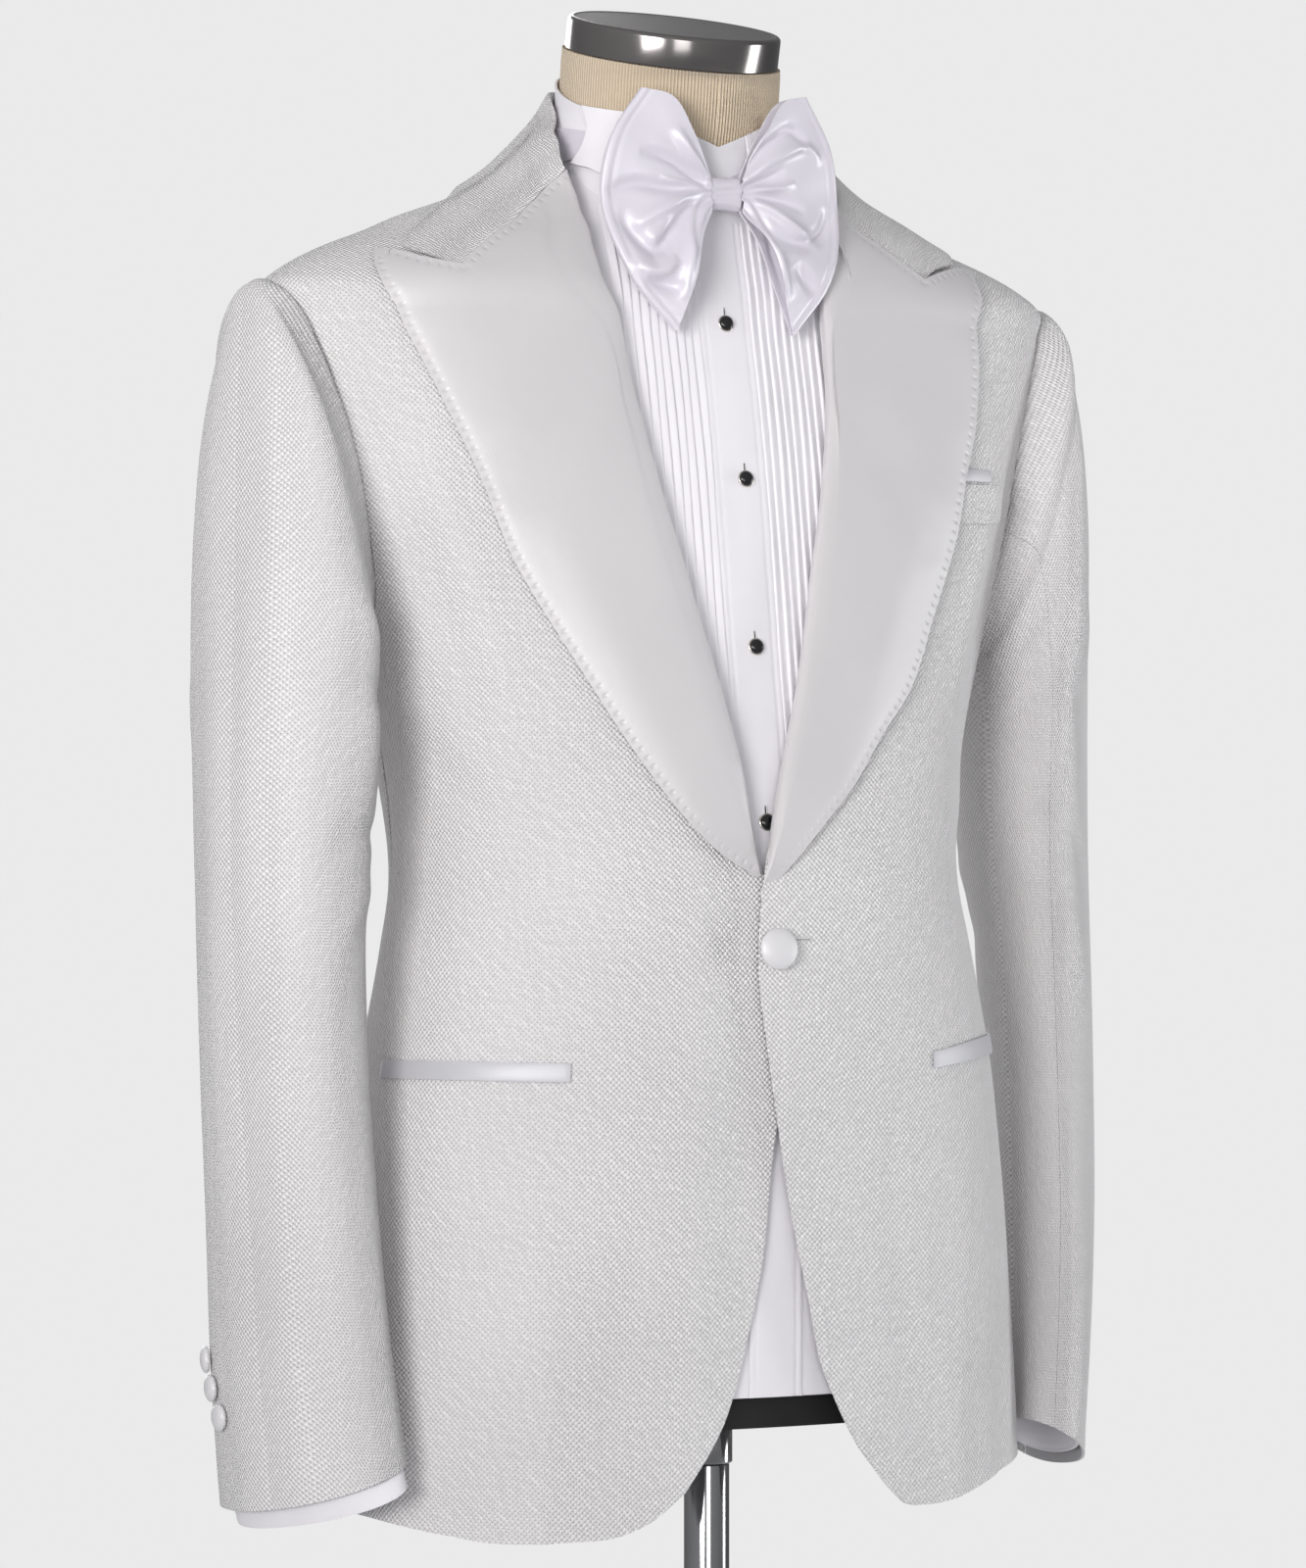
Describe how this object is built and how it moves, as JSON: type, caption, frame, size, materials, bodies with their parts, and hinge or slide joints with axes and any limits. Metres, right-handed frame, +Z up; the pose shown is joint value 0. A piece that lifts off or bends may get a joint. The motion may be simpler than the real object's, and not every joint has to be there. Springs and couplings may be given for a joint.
{
  "type": "tuxedo on a dress form",
  "caption": "White one-button tuxedo jacket with satin peak lapels, pin-tucked shirt with studs and satin bow tie, worn on a limbless dress form with a pole stand.",
  "frame": {"origin": "centre of the stand's base plate, at its underside", "axes": "+Z up, the garment's front faces -Y, the wearer's left is +X"},
  "size_m": [0.533, 0.3474, 1.5561],
  "materials": {
    "jacket_cloth": "off-white hopsack weave",
    "lapel_satin": "white satin",
    "button_satin": "satin-covered buttons",
    "shirt_cloth": "cool white poplin",
    "bow_satin": "glossy white satin",
    "stud": "polished black with a metal rim",
    "form_jersey": "fine-ribbed beige jersey",
    "form_band": "dark satin band",
    "cap_metal": "dark polished metal",
    "stand_metal": "polished grey metal"
  },
  "bodies": {
    "root": {"base_plate": "stand_metal", "bow_band": "bow_satin", "bow_knot": "bow_satin", "bow_wing_l": "bow_satin", "bow_wing_r": "bow_satin", "breast_satin": "lapel_satin", "breast_welt": "jacket_cloth", "form_band": "form_band", "form_torso": "form_jersey", "front_button": "button_satin", "hip_welt_l": "lapel_satin", "hip_welt_r": "lapel_satin", "jacket_back_l": "jacket_cloth", "jacket_back_r": "jacket_cloth", "jacket_collar": "jacket_cloth", "jacket_front_l": "jacket_cloth", "jacket_front_r": "jacket_cloth", "jacket_side_l": "jacket_cloth", "jacket_side_r": "jacket_cloth", "lapel_l": "lapel_satin", "lapel_r": "lapel_satin", "neck_cap": "cap_metal", "pole": "stand_metal", "pole_tube": "stand_metal", "shirt_back": "shirt_cloth", "shirt_bib_l": "shirt_cloth", "shirt_bib_r": "shirt_cloth", "shirt_collar": "shirt_cloth", "shirt_cuff_l": "shirt_cloth", "shirt_cuff_r": "shirt_cloth", "shirt_front_l": "shirt_cloth", "shirt_front_r": "shirt_cloth", "shirt_placket": "shirt_cloth", "shirt_sleeve_l": "shirt_cloth", "shirt_sleeve_r": "shirt_cloth", "shirt_wing_l": "shirt_cloth", "shirt_wing_r": "shirt_cloth", "sleeve_button_l1": "button_satin", "sleeve_button_l2": "button_satin", "sleeve_button_l3": "button_satin", "sleeve_button_r1": "button_satin", "sleeve_button_r2": "button_satin", "sleeve_button_r3": "button_satin", "sleeve_top_l": "jacket_cloth", "sleeve_top_r": "jacket_cloth", "sleeve_under_l": "jacket_cloth", "sleeve_under_r": "jacket_cloth", "stud_1": "stud", "stud_2": "stud", "stud_3": "stud", "stud_4": "stud"}
  },
  "joints": []
}
